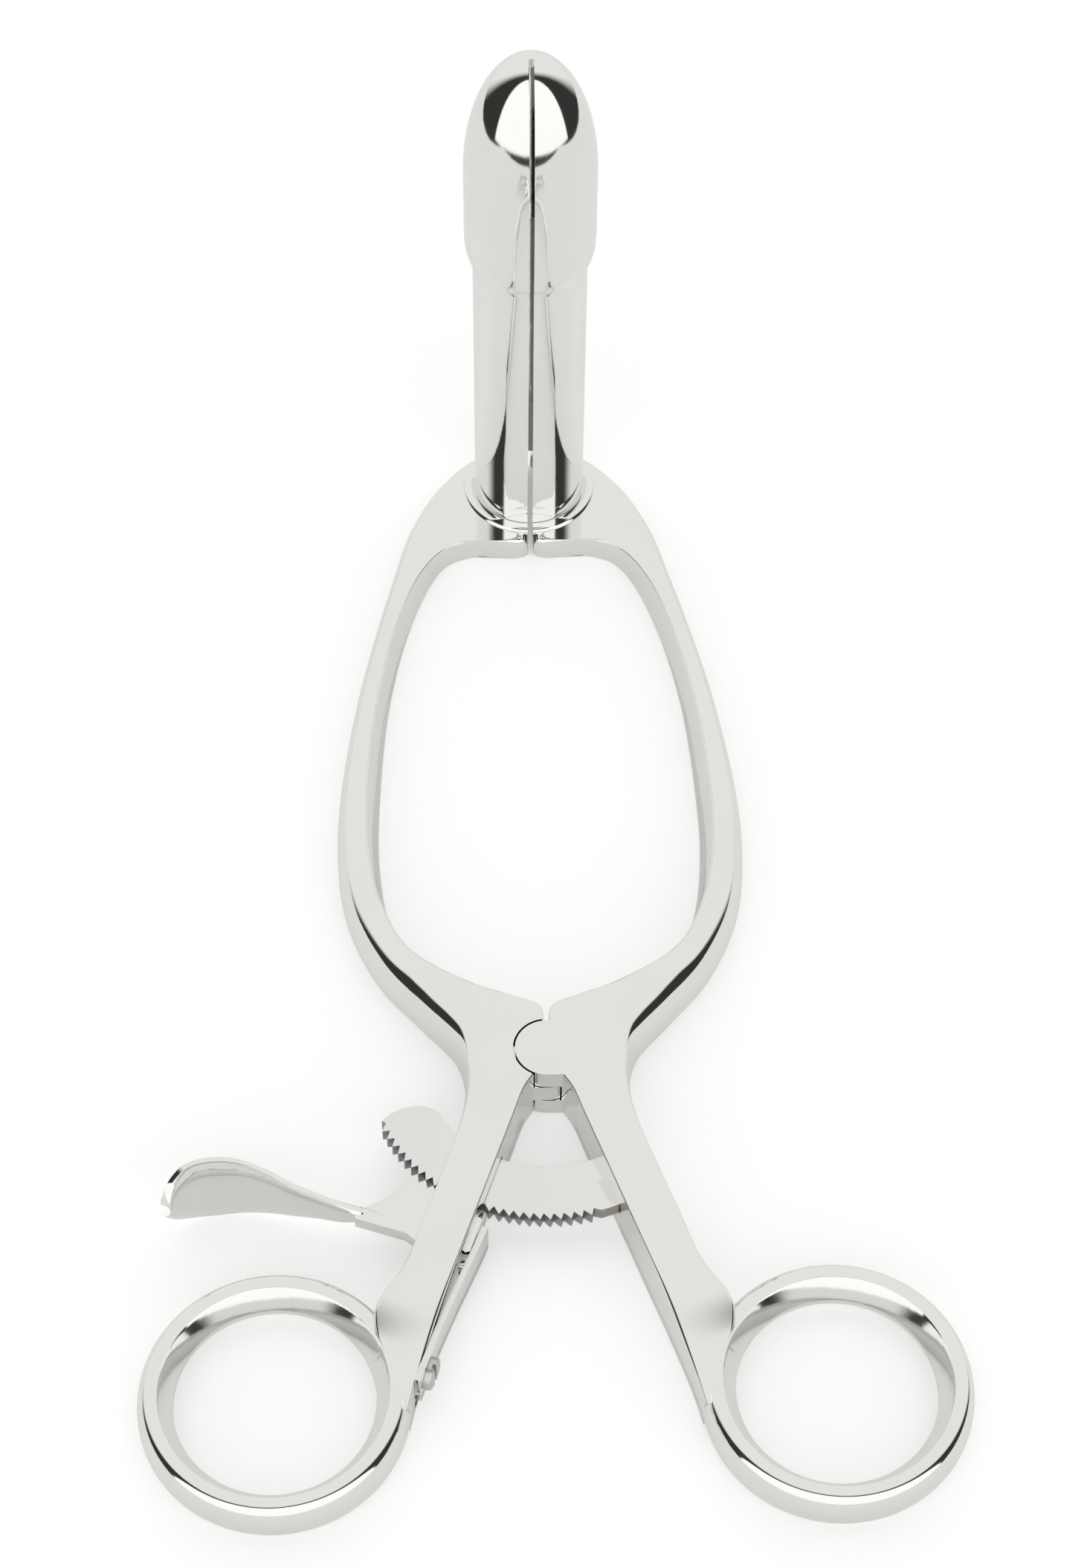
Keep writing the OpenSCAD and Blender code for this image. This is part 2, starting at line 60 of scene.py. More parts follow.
# Camera. The photograph looks down on the instrument from the handles' side, a little to the
# left of the middle line. Its frame is 1462 by 2108 pixels.
MM = 0.001
IMAGE_HEIGHT_PX = 2108
FOCAL_PX = 4685
SENSOR_HEIGHT = 36
LOOK_AT = Vector((0.83, 47.9, 0.0)) * MM
CAMERA_DISTANCE = 470 * MM
ELEVATION = radians(52.9)
AZIMUTH = radians(-1.97)
ROLL = radians(0.66)
back = Vector((sin(AZIMUTH) * cos(ELEVATION), -cos(AZIMUTH) * cos(ELEVATION), sin(ELEVATION)))
right = (-back).cross(Vector((0, 0, 1))).normalized()
up = right.cross(-back)
turned_right = right * cos(ROLL) + up * sin(ROLL)
turned_up = up * cos(ROLL) - right * sin(ROLL)
camera_data = bpy.data.cameras.new("camera")
camera_data.sensor_fit = "VERTICAL"
camera_data.sensor_height = SENSOR_HEIGHT
camera_data.lens = SENSOR_HEIGHT * FOCAL_PX / IMAGE_HEIGHT_PX
camera_data.clip_start = 0.01
camera_data.clip_end = 20
camera = bpy.data.objects.new("camera", camera_data)
bpy.context.scene.collection.objects.link(camera)
facing = Matrix((turned_right, turned_up, back)).transposed().to_4x4()
camera.matrix_world = Matrix.Translation(LOOK_AT + back * CAMERA_DISTANCE) @ facing
bpy.context.scene.camera = camera


# Arms. Each is one drop forging of stainless steel: finger ring, shank, half of the pivot joint
# and half of the bow that carries a blade. The bow is thick at the joint and thin at the blade,
# flat on top and below, rounded outside and leaning slightly inside, and buffed bright.

# Sizes are millimetres: T is a thickness, W a width, H a height, L a length and R a radius. X, Y
# and Z are places from the pivot, and those on the rings' side leave out their minus sign.
SHANK_T = 9.0
ROOT_T = 3.6
BOW_HALF = 26.6
BOW_Y = 34.0
RAIL_W = 5.3
RAIL_DRAFT = 1.3
ROOT_LIP = 2.7
INNER_ROUND = 0.35
LIP_ROUND = 1.8
OUTER_ROUND = 0.7
RAIL_EXTRA_ROUND = 0.9
BEND_EXTRA_ROUND = 1.4
SHANK_W = 6.2
SHANK_LEAN = radians(19.6)
JOINT_SWELL = 0.9
CROTCH = 0.92
RING_X = 33.2
RING_Y = 45.3
RING_R = 16.2
HOLE_R = 12.0
RING_T = 6.5
RING_BEVEL = 1.7
RING_ROUND = 1.5
HALF_WAIST = 0.4
BLADE_Y = 99.0
NECK_R = 7.65
WALL = 1.3
SPLIT = 0.35
BOW_IN = BOW_HALF - RAIL_W
LIP_Y = BLADE_Y - NECK_R - ROOT_LIP
BOW_START = 12.0
BOW_END = BLADE_Y - 11
SHANK_END = 31.0
RING_LEVEL = RING_Y - 2


def ease(t):
    """0 up to t = 0, 1 from t = 1, smooth between."""
    k = min(1.0, max(0.0, t))
    return k * k * (3 - 2 * k)


def shank_in(y):
    return CROTCH + tan(SHANK_LEAN) * y


def arm_top(y):
    """Thickness along the arm: an even taper up the bow, an eased step down to the ring."""
    if y > 0:
        k = min(1.0, max(0.0, (y - BOW_START) / (BOW_END - BOW_START)))
        return SHANK_T + (ROOT_T - SHANK_T) * k
    return SHANK_T + (RING_T - SHANK_T) * ease((-y - SHANK_END) / (RING_LEVEL - SHANK_END))


def arm_stations():
    """Rows of inner x, inner y, outer x and outer y: blade's foot, bow, joint, shank, ring."""
    shank_x = SHANK_W / cos(SHANK_LEAN)
    ring_in = RING_X - RING_R
    shank = [(shank_in(y), -y, shank_in(y) + shank_x + JOINT_SWELL * ease((12 - y) / 8), -y)
             for y in (6, 10, 16, 23, 30)]
    return [
        (SPLIT, BLADE_Y + NECK_R - 0.6, 2.4, BLADE_Y + NECK_R - 0.5),
        (SPLIT, BLADE_Y + 4.5, NECK_R + 1, BLADE_Y + 4.4),
        (SPLIT, BLADE_Y - 1.5, NECK_R + 5.8, BLADE_Y - 1),
        (SPLIT, LIP_Y, NECK_R + 9, BLADE_Y - 7),
        (8, LIP_Y - 0.3, BOW_HALF - 8.4, BLADE_Y - 11.8),
        (13, BLADE_Y - 13.8, BOW_HALF - 7.3, BLADE_Y - 16.4),
        (BOW_IN - 4.1, BLADE_Y - 24.5, BOW_HALF - 5.1, BLADE_Y - 25.8),
        (BOW_IN - 1.3, BOW_Y + 26.5, BOW_HALF - 2.4, BOW_Y + 25.7),
        (BOW_IN - 0.1, BOW_Y + 11, BOW_HALF - 0.4, BOW_Y + 10.6),
        (BOW_IN - 0.1, BOW_Y, BOW_HALF, BOW_Y - 1),
        (BOW_IN - 1.6, BOW_Y - 9.6, BOW_HALF - 1.3, BOW_Y - 11.4),
        (BOW_IN - 5.6, 15.4, BOW_HALF - 5.2, 13.6),
        (9.4, 10.3, BOW_HALF - 10.2, 7.4),
        (4.2, 8, 13.6, 4.3),
        (0.6, 6.2, 11.8, 2),
        (0.6, 1.5, 10.7, -0.6),
        (1.1, -2.5, 10.3, -3.2),
        *shank,
        (shank_in(37.2), -37.2, ring_in + 4.6, -35.2),
        (ring_in - 0.7, 1.6 - RING_Y, ring_in + 4.1, 5.4 - RING_Y),
        (ring_in + 0.3, -RING_Y - 2.4, ring_in + 2.3, -RING_Y),
    ]


def inner_round(x, y):
    """Rounding of the upper inner edge: small on the rail, wide on the lip below the blades."""
    return INNER_ROUND + (LIP_ROUND - INNER_ROUND) * ease((y - LIP_Y + 5) / 3) * ease((11 - x) / 4)


def arm_section(station):
    """Points across the arm at one station: inner wall, flat top, round outer side."""
    ix, iy, ox, oy = station
    width = hypot(ox - ix, oy - iy)
    y = (iy + oy) / 2
    top = arm_top(y)
    lean = min(RAIL_DRAFT * ease((y - 6) / 12) * ease((BLADE_Y - 6 - y) / 14), width / 4)
    on_rail = ease((y - 2) / 16) * ease((BLADE_Y - 2 - y) / 14)
    on_bend = ease((y + 2) / 8) * ease((44 - y) / 20)
    outer = min(OUTER_ROUND + RAIL_EXTRA_ROUND * on_rail, width / 3)
    bend = min(outer + BEND_EXTRA_ROUND * on_bend, width / 2.5)
    edge = min(inner_round(ix, iy), top / 2)
    wall_top = top - edge
    points = [(0.45, 0), (0.3, 0), (0.09, 0.09), (0, 0.4), (lean * 0.9, wall_top - 0.1 * wall_top)]
    corner = 7
    for k in range(corner + 1):
        a = pi / 2 * k / corner
        points.append((lean + edge - edge * cos(a), wall_top + edge * sin(a)))
    points += [(lean + edge + 0.12, top), (width - bend - 0.15, top)]
    arcs = 20
    for k in range(arcs + 1):
        a = pi * k / arcs
        points.append((width - bend + bend * sin(a), top / 2 + top / 2 * cos(a) * (1 - 0.12 * sin(a) ** 2)))
    points.append((width - bend - 0.15, 0))
    dx, dy = (ox - ix) / width, (oy - iy) / width
    return [Vector((ix + dx * u, iy + dy * u, z)) for u, z in points]


def along(rows, steps, smallest=None):
    """Smooth curve through rows of numbers; the first number may have a smallest value."""
    path = []
    for i in range(len(rows) - 1):
        a, b = rows[i], rows[i + 1]
        before = rows[i - 1] if i > 0 else None
        after = rows[i + 2] if i + 2 < len(rows) else None
        for k in range(steps):
            t = k / steps
            point = []
            for c in range(len(a)):
                p = (b[c] - before[c]) / 2 if before else 0.0
                q = (after[c] - a[c]) / 2 if after else 0.0
                point.append(a[c] * (2 * t**3 - 3 * t**2 + 1) + b[c] * (3 * t**2 - 2 * t**3)
                             + p * (t**3 - 2 * t**2 + t) + q * (t**3 - t**2))
            if smallest is not None:
                point[0] = max(smallest, point[0])
            path.append(tuple(point))
    path.append(rows[-1])
    return path


def finished(shape, name):
    """The mesh of a shape drawn in millimetres, merged and facing outwards."""
    bmesh.ops.remove_doubles(shape, verts=shape.verts, dist=1e-7)
    bmesh.ops.scale(shape, vec=(MM, MM, MM), verts=shape.verts)
    bmesh.ops.recalc_face_normals(shape, faces=shape.faces)
    mesh = bpy.data.meshes.new(name)
    shape.to_mesh(mesh)
    shape.free()
    return mesh


def loft(sections, name):
    """Solid through closed sections that all have the same number of points."""
    shape = bmesh.new()
    rim = [shape.verts.new(p) for p in sections[0]]
    edges = [shape.edges.new((rim[i - 1], rim[i])) for i in range(len(rim))]
    shape.faces.new(rim)
    for section in sections[1:]:
        grown = bmesh.ops.extrude_edge_only(shape, edges=edges)["geom"]
        drawn = [g for g in grown if isinstance(g, bmesh.types.BMEdge)]
        edges = [e for e in drawn if all(v not in rim for v in e.verts)]
        moved = {}
        for new_vert in {v for e in edges for v in e.verts}:
            joined = [e.other_vert(new_vert) for e in new_vert.link_edges]
            moved[next(v for v in joined if v in rim)] = new_vert
        rim = [moved[v] for v in rim]
        for vert, place in zip(rim, section):
            vert.co = place
    shape.faces.new(rim)
    return finished(shape, name)


def turned(profile, x, y, steps=160):
    """Solid of revolution about an upright axis, from a closed outline of radius and height."""
    shape = bmesh.new()
    rim = [shape.verts.new((x + r, y, z)) for r, z in profile]
    edges = [shape.edges.new((rim[i - 1], rim[i])) for i in range(len(rim))]
    bmesh.ops.spin(shape, geom=rim + edges, cent=(x, y, 0), axis=(0, 0, 1), angle=2 * pi,
                   steps=steps, use_merge=True)
    return finished(shape, "turned")


def ring_lip():
    """The softened edge between the bevel in the finger hole and the ring's flat top."""
    lip = HOLE_R + RING_BEVEL
    return [(lip - 0.25, RING_T - 0.35), (lip - 0.05, RING_T - 0.08), (lip + 0.2, RING_T)]


def from_below(points):
    return [(r, RING_T - z) for r, z in reversed(points)]


def ring_profile():
    """Section of the ring: waist in the hole, bevels, flats and a round outer side."""
    mid = RING_T / 2
    waist = [(HOLE_R, mid - HALF_WAIST), (HOLE_R, mid + HALF_WAIST)]
    top = ring_lip() + [(HOLE_R + RING_BEVEL + 0.35, RING_T), (RING_R - RING_ROUND - 0.1, RING_T)]
    outer = [(RING_R - RING_ROUND + RING_ROUND * sin(pi * k / 20), mid + mid * cos(pi * k / 20))
             for k in range(21)]
    return waist + top + outer + from_below(top)


def hole_profile():
    """Cutter that clears the finger hole through shank and ring."""
    above = SHANK_T + 1
    half = [(HOLE_R, RING_T / 2 + HALF_WAIST), *ring_lip(), (HOLE_R + RING_BEVEL + 0.3, above)]
    return [(0, RING_T - above)] + from_below(half) + half + [(0, above)]


def extruded(outline, low, high):
    shape = bmesh.new()
    face = shape.faces.new([shape.verts.new((x, y, low)) for x, y in outline])
    grown = bmesh.ops.extrude_face_region(shape, geom=[face])["geom"]
    lifted = [g for g in grown if isinstance(g, bmesh.types.BMVert)]
    bmesh.ops.translate(shape, verts=lifted, vec=(0, 0, high - low))
    return shape


def disc(radius, low, high, x=0.0, y=0.0, segments=128):
    shape = bmesh.new()
    bmesh.ops.create_cone(shape, cap_ends=True, segments=segments, radius1=radius, radius2=radius,
                          depth=high - low, matrix=Matrix.Translation((x, y, (low + high) / 2)))
    return finished(shape, "disc")


def block(x0, x1, y0, y1, z0, z1):
    shape = bmesh.new()
    size = Matrix.Diagonal((x1 - x0, y1 - y0, z1 - z0, 1))
    middle = Matrix.Translation(((x0 + x1) / 2, (y0 + y1) / 2, (z0 + z1) / 2))
    bmesh.ops.create_cube(shape, size=1, matrix=middle @ size)
    return finished(shape, "block")


def slot_cut(r_in, r_out, low, high, start_deg, end_deg):
    """Ring-shaped cutter round the pivot; angles run from straight back towards the left."""
    shape = bmesh.new()
    rim = []
    a = radians(start_deg)
    for r, z in ((r_in, low), (r_out, low), (r_out, high), (r_in, high)):
        rim.append(shape.verts.new((-r * sin(a), -r * cos(a), z)))
    face = shape.faces.new(rim)
    bmesh.ops.spin(shape, geom=[face, *face.edges, *rim], cent=(0, 0, 0), axis=(0, 0, -1),
                   angle=radians(end_deg - start_deg), steps=48)
    return finished(shape, "slot")


def carve(mesh, cuts, joins=()):
    """Joins solids to a mesh and cuts others out of it."""
    work = bpy.data.objects.new("blank", mesh)
    bpy.context.scene.collection.objects.link(work)
    tools = []
    for operation, solids in (("UNION", joins), ("DIFFERENCE", cuts)):
        for solid in solids:
            tool = bpy.data.objects.new("tool", solid)
            bpy.context.scene.collection.objects.link(tool)
            tools.append(tool)
            step = work.modifiers.new("cut", "BOOLEAN")
            step.operation = operation
            step.solver = "EXACT"
            step.object = tool
    bpy.context.view_layer.update()
    carved = work.evaluated_get(bpy.context.evaluated_depsgraph_get())
    result = bpy.data.meshes.new_from_object(carved)
    for extra in (work, *tools):
        bpy.data.objects.remove(extra)
    return result


def mirrored(mesh):
    shape = bmesh.new()
    shape.from_mesh(mesh)
    bmesh.ops.scale(shape, vec=(-1, 1, 1), verts=shape.verts)
    bmesh.ops.reverse_faces(shape, faces=shape.faces)
    flipped = bpy.data.meshes.new("mirrored")
    shape.to_mesh(flipped)
    shape.free()
    return flipped


def placed(mesh, matrix):
    """The mesh moved by a matrix whose lengths are millimetres."""
    matrix = matrix.copy()
    matrix.translation *= MM
    mesh.transform(matrix)
    return mesh


# The joint: a middle tongue on the left arm between two lobes on the right arm. The lobes end
# LOBE_SHY short of the arm's own faces, so that no two faces lie in one plane.
LOBE_R = 4.0
LOBE_T = 2.9
LOBE_NECK = LOBE_R - 0.4
LOBE_SHY = 0.004
LOBE_GAP = 0.25
JOINT_GAP = 0.15
TONGUE_Z = LOBE_T + JOINT_GAP
PIN_R = 1.9
PIN_L = 7.6
PRESSED = 0.01
RUNNING = 0.05


def lobe(low, high):
    """A round lobe with a straight neck that runs into its arm on the right."""
    steps = 64
    round_end = [(-LOBE_R * sin(pi * k / steps), LOBE_R * cos(pi * k / steps)) for k in range(steps + 1)]
    outline = [(LOBE_NECK, LOBE_R), *round_end, (LOBE_NECK, -LOBE_R)]
    return finished(extruded(outline, low, high), "lobe")


# What the shanks carry: the ratchet bar's pocket on the right, and on the left the slot, the
# lever's pin on the shank's middle line and the leaf's seat with its screw hole. leaf_place
# puts x off the shank's inner face and y along the shank towards the joint.
BAR_Z = 4.0
BAR_T = 2.0
BAR_W = 7.4
TIP_R = 22.8
BAR_IN = TIP_R - BAR_W
MID_R = (BAR_IN + TIP_R) / 2
POCKET_GAP = 0.02
POCKET_DEG = (-33, -14)
RIVET_ANGLE = radians(28)
RIVET_R = 1.2
SHORT_PIN_L = 7.4
SLOT_GAP = 0.2
SLOT_DEG = (2, 62)
SLOT_BEHIND = 0.4
SLOT_BEYOND = 0.5
LEVER_PIN_R = 1.25
LEVER_HUB = 2.6
LEVER_R = TIP_R + 5.64
MID_SHANK = CROTCH + SHANK_W / cos(SHANK_LEAN) / 2
SLOPE = tan(SHANK_LEAN)
LEVER_Y = (sqrt((MID_SHANK * SLOPE) ** 2 - (1 + SLOPE**2) * (MID_SHANK**2 - LEVER_R**2))
           - MID_SHANK * SLOPE) / (1 + SLOPE**2)
LEVER_X = MID_SHANK + SLOPE * LEVER_Y
SCREW_Y = 42.0
SCREW_R = 1.0
SCREW_DEPTH = 3.4
LEAF_H = 5.0
LEAF_LOW = 0.2
SEAT_Y = (-3.4, 3.6)
leaf_place = (Matrix.Translation((-shank_in(SCREW_Y), -SCREW_Y, (SHANK_T - LEAF_H) / 2 - LEAF_LOW))
              @ Matrix.Rotation(-SHANK_LEAN, 4, "Z"))
screw_axis = Matrix.Translation((0, 0, LEAF_H / 2)) @ Matrix.Rotation(pi / 2, 4, "Y")

blank = carve(
    loft([arm_section(s) for s in along(arm_stations(), 8, SPLIT)], "rail"),
    joins=[turned(ring_profile(), RING_X, -RING_Y)],
    cuts=[turned(hole_profile(), RING_X, -RING_Y), disc(NECK_R - WALL, -1, ROOT_T + 2, y=BLADE_Y)])
right_arm_mesh = carve(blank.copy(), cuts=[disc(LOBE_R + LOBE_GAP, LOBE_T, SHANK_T - LOBE_T)])
right_arm_mesh = carve(
    right_arm_mesh,
    joins=[lobe(LOBE_SHY, LOBE_T), lobe(SHANK_T - LOBE_T, SHANK_T - LOBE_SHY)],
    cuts=[disc(PIN_R + PRESSED, -1, PIN_L),
          slot_cut(BAR_IN - POCKET_GAP, TIP_R + POCKET_GAP, BAR_Z, BAR_Z + BAR_T, *POCKET_DEG),
          disc(RIVET_R + PRESSED, -1, SHORT_PIN_L, MID_R * sin(RIVET_ANGLE), -MID_R * cos(RIVET_ANGLE))])
left_arm_mesh = carve(
    mirrored(blank),
    cuts=[disc(LOBE_R + LOBE_GAP, SHANK_T - LOBE_T - JOINT_GAP, SHANK_T + 1),
          disc(LOBE_R + LOBE_GAP, -1, TONGUE_Z)])
left_arm_mesh = carve(
    left_arm_mesh,
    joins=[mirrored(lobe(TONGUE_Z, SHANK_T - TONGUE_Z))],
    cuts=[disc(PIN_R + RUNNING, -1, SHANK_T + 1),
          slot_cut(BAR_IN - SLOT_BEHIND, LEVER_R + LEVER_HUB + SLOT_BEYOND,
                   BAR_Z - SLOT_GAP, BAR_Z + BAR_T + SLOT_GAP, *SLOT_DEG),
          disc(LEVER_PIN_R + PRESSED, -1, SHORT_PIN_L, -LEVER_X, -LEVER_Y),
          placed(block(0, 1, *SEAT_Y, -1, LEAF_H + 1), leaf_place),
          placed(disc(SCREW_R + PRESSED, -SCREW_DEPTH, 1), leaf_place @ screw_axis)])


def steel_finish(name, colour, roughness, ripple, grain):
    """Steel with a faint haze, fine buffing lines along the piece and shallow waviness."""
    steel = bpy.data.materials.new(name)
    steel.use_nodes = True
    nodes = steel.node_tree.nodes
    links = steel.node_tree.links
    shader = nodes["Principled BSDF"]
    shader.inputs["Metallic"].default_value = 1.0
    place = nodes.new("ShaderNodeTexCoord")

    haze = nodes.new("ShaderNodeTexNoise")
    haze.inputs["Scale"].default_value = 70
    haze.inputs["Detail"].default_value = 4
    links.new(place.outputs["Object"], haze.inputs["Vector"])
    tint = nodes.new("ShaderNodeMapRange")
    tint.inputs["To Min"].default_value = 0.97
    tint.inputs["To Max"].default_value = 1.02
    links.new(haze.outputs["Fac"], tint.inputs["Value"])
    shade = nodes.new("ShaderNodeMix")
    shade.data_type = "RGBA"
    shade.blend_type = "MULTIPLY"
    shade.inputs["Factor"].default_value = 1.0
    shade.inputs["A"].default_value = (*colour, 1)
    links.new(tint.outputs["Result"], shade.inputs["B"])
    links.new(shade.outputs["Result"], shader.inputs["Base Color"])

    stretch = nodes.new("ShaderNodeMapping")
    stretch.inputs["Scale"].default_value = (1.0, 0.12, 1.0)
    links.new(place.outputs["Object"], stretch.inputs["Vector"])
    buffing = nodes.new("ShaderNodeTexNoise")
    buffing.inputs["Scale"].default_value = 900
    buffing.inputs["Detail"].default_value = 3
    links.new(stretch.outputs["Vector"], buffing.inputs["Vector"])
    gloss = nodes.new("ShaderNodeMapRange")
    gloss.inputs["To Min"].default_value = roughness * 0.75
    gloss.inputs["To Max"].default_value = roughness * 1.3
    links.new(buffing.outputs["Fac"], gloss.inputs["Value"])
    links.new(gloss.outputs["Result"], shader.inputs["Roughness"])

    waves = nodes.new("ShaderNodeTexNoise")
    waves.inputs["Scale"].default_value = 45
    waves.inputs["Detail"].default_value = 2
    links.new(place.outputs["Object"], waves.inputs["Vector"])
    soft = nodes.new("ShaderNodeBump")
    soft.inputs["Strength"].default_value = ripple
    soft.inputs["Distance"].default_value = 0.001
    links.new(waves.outputs["Fac"], soft.inputs["Height"])
    fine = nodes.new("ShaderNodeBump")
    fine.inputs["Strength"].default_value = grain
    fine.inputs["Distance"].default_value = 0.00005
    links.new(buffing.outputs["Fac"], fine.inputs["Height"])
    links.new(soft.outputs["Normal"], fine.inputs["Normal"])
    links.new(fine.outputs["Normal"], shader.inputs["Normal"])
    return steel


def add_piece(name, mesh, material, body, replaced, sharp_deg=30):
    """Puts a finished mesh in the scene. A piece given no body is not attached to one."""
    mesh.materials.clear()
    mesh.materials.append(material)
    mesh.shade_smooth()
    mesh.set_sharp_from_angle(angle=radians(sharp_deg))
    piece = bpy.data.objects.new(name, mesh)
    bpy.context.scene.collection.objects.link(piece)
    if body:
        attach(piece, body)
    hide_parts(replaced)
    return piece


polished_steel = steel_finish("polished_steel", (0.88, 0.88, 0.86), 0.07, 0.02, 0.08)
add_piece("left_arm_forging", left_arm_mesh, polished_steel, "left", "left_arm")
add_piece("right_arm_forging", right_arm_mesh, polished_steel, "right", "right_arm")


# Blades. Each is half a drawn and pressed steel tube, closed by a rounded nose, with a thicker
# head above a shallow heel. Its foot is brazed to its arm with a seam round the front, which is
# ground flat beside the gap at the root and above the heel. The gap is closed to a hair behind.
HEAD_R = 8.75
HEEL_Z = 49.0
NOSE_Z = 64.0
NOSE_L = 18.5
ROOT_FLAT_Z = ROOT_T + 0.35
ROOT_FLAT = (0.75, 24.0)
HEEL_FLAT = (0.3, 20.0)
REAR_SPLIT = 0.05
BLADE_STEPS = 144
BEAD_W = 1.7
BEAD_H = 0.5
BEAD_SUNK = 0.35


def blade_side(inset):
    """The blade's side from heel to tip, as radius and height; inset gives the inner wall."""
    side = [(NECK_R - inset, HEEL_Z - 0.8 + inset), (NECK_R + 0.1 - inset, HEEL_Z + inset / 2),
            (HEAD_R - 0.35 - inset, HEEL_Z + 1.1 + inset / 2),
            (HEAD_R - 0.1 - inset, HEEL_Z + 2.2 + inset / 2), (HEAD_R - inset, HEEL_Z + 4)]
    steps = 28
    for k in range(steps + 1):
        a = pi / 2 * k / steps
        side.append(((HEAD_R - inset) * cos(a), NOSE_Z + (NOSE_L - inset) * sin(a)))
    return side


def blade_shell():
    shape = bmesh.new()
    outside = [(NECK_R, ROOT_T)] + blade_side(0)
    outline = outside + list(reversed(blade_side(WALL))) + [(NECK_R - WALL, ROOT_T)]
    rim = [shape.verts.new((0.0, BLADE_Y - r, z)) for r, z in outline]
    edges = [shape.edges.new((rim[i - 1], rim[i])) for i in range(len(rim)) if i != len(outside)]
    bmesh.ops.spin(shape, geom=rim + edges, cent=(0, BLADE_Y, 0), axis=(0, 0, 1), angle=2 * pi,
                   steps=BLADE_STEPS, use_merge=True)
    bmesh.ops.remove_doubles(shape, verts=shape.verts, dist=1e-5)
    bmesh.ops.bisect_plane(shape, geom=[*shape.verts, *shape.edges, *shape.faces],
                           plane_co=(REAR_SPLIT, 0, 0), plane_no=(1, 0, 0), clear_inner=True)
    rims = [e for e in shape.edges if e.is_boundary]
    bmesh.ops.triangle_fill(shape, edges=rims, use_beauty=True)
    return finished(shape, "blade")


def braze_bead():
    """The polished braze seam round the foot's front, sunk a little into the arm."""
    steps = 8
    half = BEAD_W / 2
    arc = [(NECK_R + half - half * cos(pi * k / steps), ROOT_T + BEAD_H * sin(pi * k / steps))
           for k in range(1, steps)]
    sunk = ROOT_T - BEAD_SUNK
    outline = [(NECK_R - 0.5, sunk), (NECK_R + BEAD_W, sunk), (NECK_R + BEAD_W, ROOT_T),
               *reversed(arc), (NECK_R - 0.5, ROOT_T + 0.06)]
    behind = block(-2 * NECK_R, 2 * NECK_R, BLADE_Y + 1, BLADE_Y + 2 * NECK_R, 0, ROOT_T + 2)
    return carve(turned(outline, 0, BLADE_Y, BLADE_STEPS), cuts=[behind])


def front_flat(radius, foot, depth, length):
    """Wedge across the blades' front, deepest at its foot."""
    front = BLADE_Y - radius
    corners = ((front - 1, foot), (front + depth, foot), (front, foot + length), (front - 1, foot + length))
    ends = [[Vector((x, y, z)) for y, z in corners] for x in (0, radius)]
    return loft(ends, "wedge")


front_gap = block(-1, SPLIT, BLADE_Y - 2 * HEAD_R, BLADE_Y, 0, NOSE_Z + NOSE_L + 1)
other_side = block(-2 * NECK_R, REAR_SPLIT, BLADE_Y - 2 * NECK_R, BLADE_Y + 2 * NECK_R, 0, ROOT_T + 2)
right_blade_mesh = carve(
    blade_shell(),
    joins=[carve(braze_bead(), cuts=[other_side])],
    cuts=[front_gap, front_flat(NECK_R, ROOT_FLAT_Z, *ROOT_FLAT),
          front_flat(HEAD_R, HEEL_Z + WALL, *HEEL_FLAT)])
left_blade_mesh = mirrored(right_blade_mesh)
add_piece("left_blade_shell", left_blade_mesh, polished_steel, "left", "left_blade")
add_piece("right_blade_shell", right_blade_mesh, polished_steel, "right", "right_blade")


# Ratchet bar. A flat curved bar with saw teeth on its outer edge and a rounded free end. The
# other end sits in the right shank, where the brazing has left it rough and a little brown.
# Pitch and places along the bar are degrees; the tooth's flank and crest are parts of a pitch.
PITCH = 3.2
TEETH = 25
FIRST_TOOTH = 64.3
END_BEYOND = 1.7
END_ROUND = 10
BAR_ROOT = 33
EDGE_STEP = 1.5
TOOTH_H = 0.8
LONG_FLANK = 0.68
HALF_CREST = 0.04
PLAIN_DROP = 0.3
PLATE_ROUND = 0.07
BRAZED_X = 6.2
bar_steel = steel_finish("bar_steel", (0.86, 0.86, 0.84), 0.10, 0.02, 0.12)
brazed_steel = steel_finish("brazed_steel", (0.45, 0.40, 0.34), 0.42, 0.25, 0.6)
# The tooth flanks' dark base colour is painted shade: it stands in for the shaded table that they mirror.
# Their higher roughness is the cut finish.
painted_shade_steel = steel_finish("painted_shade_steel", (0.34, 0.34, 0.35), 0.30, 0.05, 0.5)


def arc_point(r, a):
    """A point by radius and angle in degrees from straight back towards the left."""
    return (-r * sin(radians(a)), -r * cos(radians(a)))


def flat_plate(outline, z, thickness, rounding, name):
    """Plate of a given outline with a small rounding on its upper and lower edges."""
    shape = extruded(outline, z, z + thickness)
    edges = [e for e in shape.edges if abs(e.verts[0].co.z - e.verts[1].co.z) < 1e-6]
    bmesh.ops.bevel(shape, geom=edges, offset=rounding, segments=2, profile=0.5, affect="EDGES",
                    material=-1)
    return finished(shape, name)


